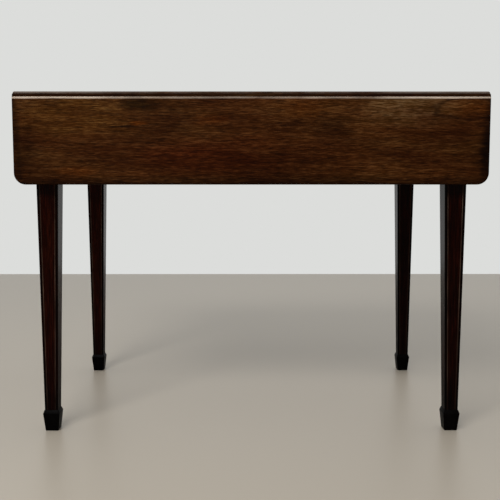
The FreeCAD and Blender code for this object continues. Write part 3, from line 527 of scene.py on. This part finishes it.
# Legs: the tapered square with eased arrises, and on each face two grooves that the string
# lines fill. Each level is half-width, groove depth and height; a groove stops at the knee.
def addLeg(corner, side, end):
    knee, foot = legShape["kneeZ"], legShape["footZ"]
    halfTop, halfAnkle = legShape["top"] / 2, legShape["ankle"] / 2
    levels = np.array([(halfAnkle, legShape["stringDepth"], foot), (halfTop, legShape["stringDepth"], knee),
                       (halfTop, 0, knee), (halfTop, 0, legShape["topZ"])])
    half, depth, height = levels.T
    arcs = roundedCorners(half, legShape["arris"], legShape["arcSteps"])
    share = np.clip((knee - height) / (knee - foot), 0, 1)  # how far down the taper
    inset = legShape["stringInset"] * (1 - share) + legShape["ankleInset"] * share
    width = legShape["stringWidth"]
    starts = np.stack([half - inset, width - half + inset], -1)  # along the face, where each groove starts
    along = np.stack([starts, starts, starts - width, starts - width], -1).reshape(len(levels), 8)
    away = half[:, None] - np.tile(np.stack([0 * depth, depth, depth, 0 * depth], -1), (1, 2))
    outline = []
    for turn in range(4):  # each corner, then the face after it, a quarter turn further round
        cos, sin = round(math.cos(turn * math.pi / 2)), round(math.sin(turn * math.pi / 2))
        outline += [arcs[:, turn], np.stack([along * cos - away * sin, along * sin + away * cos], -1)]
    middle = np.outer(1 - share, legShape["topMiddle"]) + np.outer(share, legShape["ankleMiddle"])
    section = np.concatenate(outline, axis=1) + (middle * (end, side))[:, None, :]
    leg = addRings(f"leg_eased_{corner}", raised(section, height) * mm, legWood, sharp=30)
    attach(leg, "frame")
    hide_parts(f"leg_{corner}")


# Spade feet: the square with softened arrises, carried up a profile. Each of its edges is at a
# height and half-width, and three points, up and out from there, ease it.
footShape = {"soften": 1.2, "arcSteps": 6, "edges": [
    ((0.0, 13.75), [(0.0, -0.8), (0.24, -0.24), (0.8, 0.05)]),
    ((38.5, 17.75), [(-0.8, -0.1), (-0.16, -0.02), (0.4, -0.25)]),
    ((46.0, 14.95), [(-0.8, 0.3), (-0.24, -0.1), (0.0, -0.8)])]}


def addFoot(corner, side, end):
    profile = np.concatenate([np.array(edge) + points for edge, points in footShape["edges"]])
    height, half = profile.T
    section = roundedCorners(half, footShape["soften"], footShape["arcSteps"]).reshape(len(profile), -1, 2)
    section = section + np.array(legShape["ankleMiddle"]) * (end, side)
    foot = addRings(f"spade_foot_carved_{corner}", raised(section, height) * mm, ebonised, sharp=35)
    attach(foot, "frame")
    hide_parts(f"spade_foot_{corner}")


for side, sideSign in sides.items():
    for end, endSign in ends.items():
        addLeg(f"{side}_{end}", sideSign, endSign)
        addFoot(f"{side}_{end}", sideSign, endSign)
print("legs eased, feet carved")

# Turned knobs: a profile of arcs, as distance out from the face and radius, turned about the
# knob's own axis: the rose's edge and cove, the hollow neck, the rim, and the domed head.
knobShape = {"around": 64, "rose": 9.0, "roseEdge": 0.8, "roseThick": 2.6, "cove": 1.0, "coveDrop": 1.2,
             "neck": 4.2, "neckRound": 0.62, "neckArc": (222, 300, 12), "headThick": 2.4, "head": 11.0,
             "rim": 1.3, "rimArc": (215, 62, 9), "dome": 4.4, "domeArc": (-4, 1, 14), "edgeSteps": 5}


def arc(middle, radius, start, stop, steps):  # points of a circle between two angles in degrees
    angle = np.radians(np.linspace(start, stop, steps))
    return np.stack([middle[0] + radius * np.cos(angle), middle[1] + radius * np.sin(angle)], -1)


def addKnob(node, body, outward):
    low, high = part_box(node)
    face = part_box("drawer_front")[1].x if outward > 0 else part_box("end_rail")[0].x
    reach = ((high.x - face) if outward > 0 else (face - low.x)) / mm
    rose, edge, thick = (knobShape[key] for key in ("rose", "roseEdge", "roseThick"))
    head, rim, dome = (knobShape[key] for key in ("head", "rim", "dome"))
    domeRadius = (head ** 2 + dome ** 2) / (2 * dome)
    rimAt = reach - dome
    hollow = rimAt - knobShape["headThick"] - thick  # room between the rose and the head
    neckRadius = hollow * knobShape["neckRound"]
    trim, stop, domeSteps = knobShape["domeArc"]
    domeEdge = math.degrees(math.asin(head / domeRadius)) + trim
    steps = knobShape["edgeSteps"]
    profile = np.concatenate([
        [(0.0, rose)], arc((edge, rose - edge), edge, 90, 0, steps),
        arc((thick, rose - knobShape["coveDrop"]), knobShape["cove"], 180, 270, steps),
        arc((thick + hollow / 2, knobShape["neck"] + neckRadius), neckRadius, *knobShape["neckArc"]),
        arc((rimAt, head - rim), rim, *knobShape["rimArc"]),
        arc((reach - domeRadius, 0.0), domeRadius, domeEdge, stop, domeSteps)])
    turn = np.linspace(0, 2 * math.pi, knobShape["around"], endpoint=False)
    out, radius = profile[:, :1], profile[:, 1:]
    rings = np.stack([np.broadcast_to(face + outward * out * mm, (len(profile), turn.size)),
                      (low.y + high.y) / 2 + outward * radius * np.cos(turn) * mm,
                      (low.z + high.z) / 2 + radius * np.sin(turn) * mm], -1)
    knob = addRings(f"{node}_turned", rings, brass, sharp=50)
    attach(knob, body)
    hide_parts(node)


addKnob("drawer_knob", "drawer", 1)
addKnob("dummy_knob", "frame", -1)
print("knobs turned")

# Slotted screw heads: a dome that is dome * (1 - r^2 / R^2) high, with a flat-bottomed slot
# filed across it. Rows lie along the slot at y = R sin(b), with one at the top and one at the
# foot of each of its sides, columns divide the chord there, x = c sqrt(R^2 - y^2), and a
# skirt closes the head below. Each slot is turned further than the last.
screwShape = {"slotShare": 0.15, "wall": 0.08, "slotFloor": 0.3, "skirt": 0.3, "rows": 6, "columns": 13,
              "steepest": 84, "turn": 37, "hinge": (3.2, 0.9), "top": (4.2, 0.6)}  # radius and dome
screwPlaces = {"plateStep": 11, "plateHighZ": 690, "plateFarEnd": 13, "topPlateY": 284,
               "topX": 300, "topY": 223.5}


def addScrews(name, body, heads, facing, radius, dome):
    slot = radius * screwShape["slotShare"]
    steepest, slotTop = math.radians(screwShape["steepest"]), math.asin(screwShape["slotShare"])
    below = radius * np.sin(np.linspace(-steepest, -slotTop, screwShape["rows"]))
    foot = slot - screwShape["wall"]
    y = np.concatenate([below, [-foot, foot], -below[::-1]])[:, None]
    x = np.linspace(-1, 1, screwShape["columns"]) * np.sqrt(radius ** 2 - y ** 2)
    height = dome * (1 - (x ** 2 + y ** 2) / radius ** 2)
    inSlot = np.abs(y) < (slot + foot) / 2
    height = np.where(inSlot, np.minimum(height, dome * screwShape["slotFloor"]), height)
    grid = np.stack([x, np.broadcast_to(y, x.shape), height], -1)
    index = np.arange(x.size).reshape(x.shape)
    rim = np.concatenate([index[0], index[1:, -1], index[-1, -2::-1], index[-2:0:-1, 0]])
    skirt = grid.reshape(-1, 3)[rim] * (1, 1, 0) - (0, 0, screwShape["skirt"])
    local = np.concatenate([grid.reshape(-1, 3), skirt])
    lower = x.size + np.arange(rim.size)
    quads = np.concatenate([
        np.stack([index[:-1, :-1], index[:-1, 1:], index[1:, 1:], index[1:, :-1]], -1).reshape(-1, 4),
        np.stack([rim, lower, np.roll(lower, -1), np.roll(rim, -1)], -1)])
    turn = math.radians(screwShape["turn"]) * np.arange(len(heads))[:, None]
    across = np.cross(facing, (1, 0, 0))
    u = np.cos(turn) * (1, 0, 0) + np.sin(turn) * across
    v = np.cos(turn) * across - np.sin(turn) * (1, 0, 0)
    points = (np.array(heads)[:, None] + local[:, :1] * u[:, None] + local[:, 1:2] * v[:, None]
              + local[:, 2:] * np.array(facing))
    first = np.arange(len(heads)) * len(local)
    faces = (quads + first[:, None, None]).reshape(-1, 4).tolist() + (lower[::-1] + first[:, None]).tolist()
    screws = addMesh(name, points * mm, faces, steel, sharp=30)
    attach(screws, body)


topHeads, plateHeads = [], []
step, highZ = screwPlaces["plateStep"], screwPlaces["plateHighZ"]
for side, sideSign in sides.items():
    leafHeads = []
    for end, endSign in ends.items():
        low, high = (np.array(spot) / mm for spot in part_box(f"hinge_leaf_plate_{side}_{end}"))
        middle = (low[0] + high[0]) / 2
        back = min(abs(low[1]), abs(high[1])) * sideSign  # the plate's bare side, towards the frame
        farZ = low[2] + screwPlaces["plateFarEnd"]
        leafHeads += [(middle - step, back, highZ), (middle + step, back, highZ), (middle, back, farZ)]
        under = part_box(f"hinge_top_plate_{side}_{end}")[0].z / mm
        plateY = screwPlaces["topPlateY"] * sideSign
        plateHeads += [(middle + shift, plateY, under) for shift in (-step, step)]
        topHeads.append((screwPlaces["topX"] * endSign, screwPlaces["topY"] * sideSign,
                         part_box("top_screws")[0].z / mm))
    addScrews(f"hinge_screws_leaf_{side}", f"{side}_leaf", leafHeads, (0, -sideSign, 0),
              *screwShape["hinge"])
addScrews("hinge_screws_top", "frame", plateHeads, (0, 0, -1), *screwShape["hinge"])
addScrews("top_screw_heads", "frame", topHeads, (0, 0, -1), *screwShape["top"])
print("screws driven")

# Floor and wall: plain and pale, and clear from behind. The floor has a soft gloss. The wall
# and the sky look the same pale grey to the eye and in a gloss, whatever light falls on them.
# Sizes here, and in the light, are in metres.
stageLook = {"floor": "#aaa193", "rough": 0.36, "specular": 0.35, "wall": "#dcdddb", "wallAt": 2.41,
             "wallHeight": 8.0, "reach": 14.0}


def seenDirectly(tree):  # one for what is seen, mirrored or seen through, none for light that is scattered
    path = add(tree, "ShaderNodeLightPath", {}).outputs
    either = calc(tree, "MAXIMUM", path["Is Camera Ray"], path["Is Glossy Ray"])
    return calc(tree, "MAXIMUM", either, path["Is Transmission Ray"])


def addSheet(name, outline, glows):
    mesh = bpy.data.meshes.new(name)
    mesh.from_pydata(outline, [], [(0, 1, 2, 3)])
    sheet = bpy.data.objects.new(name, mesh)
    scene.collection.objects.link(sheet)
    material, tree, shader = begin(f"{name}Paint")[:3]
    clear = add(tree, "ShaderNodeBsdfTransparent", {}).outputs[0]
    if glows:
        glow = add(tree, "ShaderNodeEmission", {"Color": linear(stageLook[name]),
                                                "Strength": 1.0}).outputs[0]
        face = add(tree, "ShaderNodeMixShader", {0: seenDirectly(tree), 1: clear, 2: glow}).outputs[0]
    else:
        shader.inputs["Base Color"].default_value = linear(stageLook[name])
        shader.inputs["Roughness"].default_value = stageLook["rough"]
        shader.inputs["Specular IOR Level"].default_value = stageLook["specular"]
        face = shader.outputs[0]
    back = add(tree, "ShaderNodeNewGeometry", {}).outputs["Backfacing"]
    oneSided = add(tree, "ShaderNodeMixShader", {0: back, 1: face, 2: clear}).outputs[0]
    tree.links.new(oneSided, tree.nodes["Material Output"].inputs[0])
    mesh.materials.append(material)
    sheet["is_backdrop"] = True


far, wallAt, wallTop = stageLook["reach"], stageLook["wallAt"], stageLook["wallHeight"]
addSheet("floor", [(-far, -far, 0), (far, -far, 0), (far, far, 0), (-far, far, 0)], False)
addSheet("wall", [(-far, wallAt, 0), (far, wallAt, 0),
                  (far, wallAt, wallTop), (-far, wallAt, wallTop)], True)

# Light: bright from low down behind and at the sides, dim in front and overhead, and one
# large soft lamp up in front. The spans are of the direction's y and z.
lightLook = {"front": 0.12, "back": 1.7, "horizonSpan": (-0.8, 0.1),
             "zenith": 0.36, "zenithSpan": (0.15, 0.85),
             "key": 80, "keyAt": (-1.0, -2.5, 2.5), "keySize": (1.6, 0.8), "keyAim": (0, -0.3, 0.5)}
world = bpy.data.worlds.new("studio")
world.use_nodes = True
scene.world = world
sky = world.node_tree
way = parts(sky, add(sky, "ShaderNodeTexCoord", {}).outputs["Generated"])
horizon = ease(sky, way["Y"], *lightLook["horizonSpan"], lightLook["front"], lightLook["back"])
level = ease(sky, way["Z"], *lightLook["zenithSpan"], horizon, lightLook["zenith"])
light = add(sky, "ShaderNodeBackground", {"Color": (1, 1, 1, 1), "Strength": level}).outputs[0]
pale = add(sky, "ShaderNodeBackground", {"Color": linear(stageLook["wall"]), "Strength": 1.0}).outputs[0]
both = add(sky, "ShaderNodeMixShader", {0: seenDirectly(sky), 1: light, 2: pale}).outputs[0]
sky.links.new(both, sky.nodes["World Output"].inputs[0])


def addLamp(name, power, at, size, aim):
    data = bpy.data.lights.new(name, "AREA")
    data.energy = power
    data.shape = "RECTANGLE"
    data.size, data.size_y = size
    lamp = bpy.data.objects.new(name, data)
    lamp.location = at
    away = np.array(aim) - at
    tilt = math.acos(-away[2] / np.linalg.norm(away))
    lamp.rotation_euler = (tilt, 0, math.atan2(away[0], -away[1]) + math.pi)
    scene.collection.objects.link(lamp)


addLamp("keyLamp", lightLook["key"], lightLook["keyAt"], lightLook["keySize"], lightLook["keyAim"])

# Camera: where the edges of the photo put it; the focal length is in pixels of a picture that wide.
cameraLook = {"at": (-7.3, -1876.0, 545.2), "down": 5.443, "turn": -0.149, "focal": 762.0, "picture": 500,
              "sensor": 36}
lens = bpy.data.cameras.new("camera")
lens.sensor_width = cameraLook["sensor"]
lens.lens = cameraLook["focal"] / cameraLook["picture"] * cameraLook["sensor"]
camera = bpy.data.objects.new("camera", lens)
camera.location = np.array(cameraLook["at"]) * mm
camera.rotation_euler = (math.radians(90 - cameraLook["down"]), 0, math.radians(cameraLook["turn"]))
scene.collection.objects.link(camera)
scene.camera = camera
scene.view_settings.view_transform = "Standard"
print("stage lit")

low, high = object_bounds()
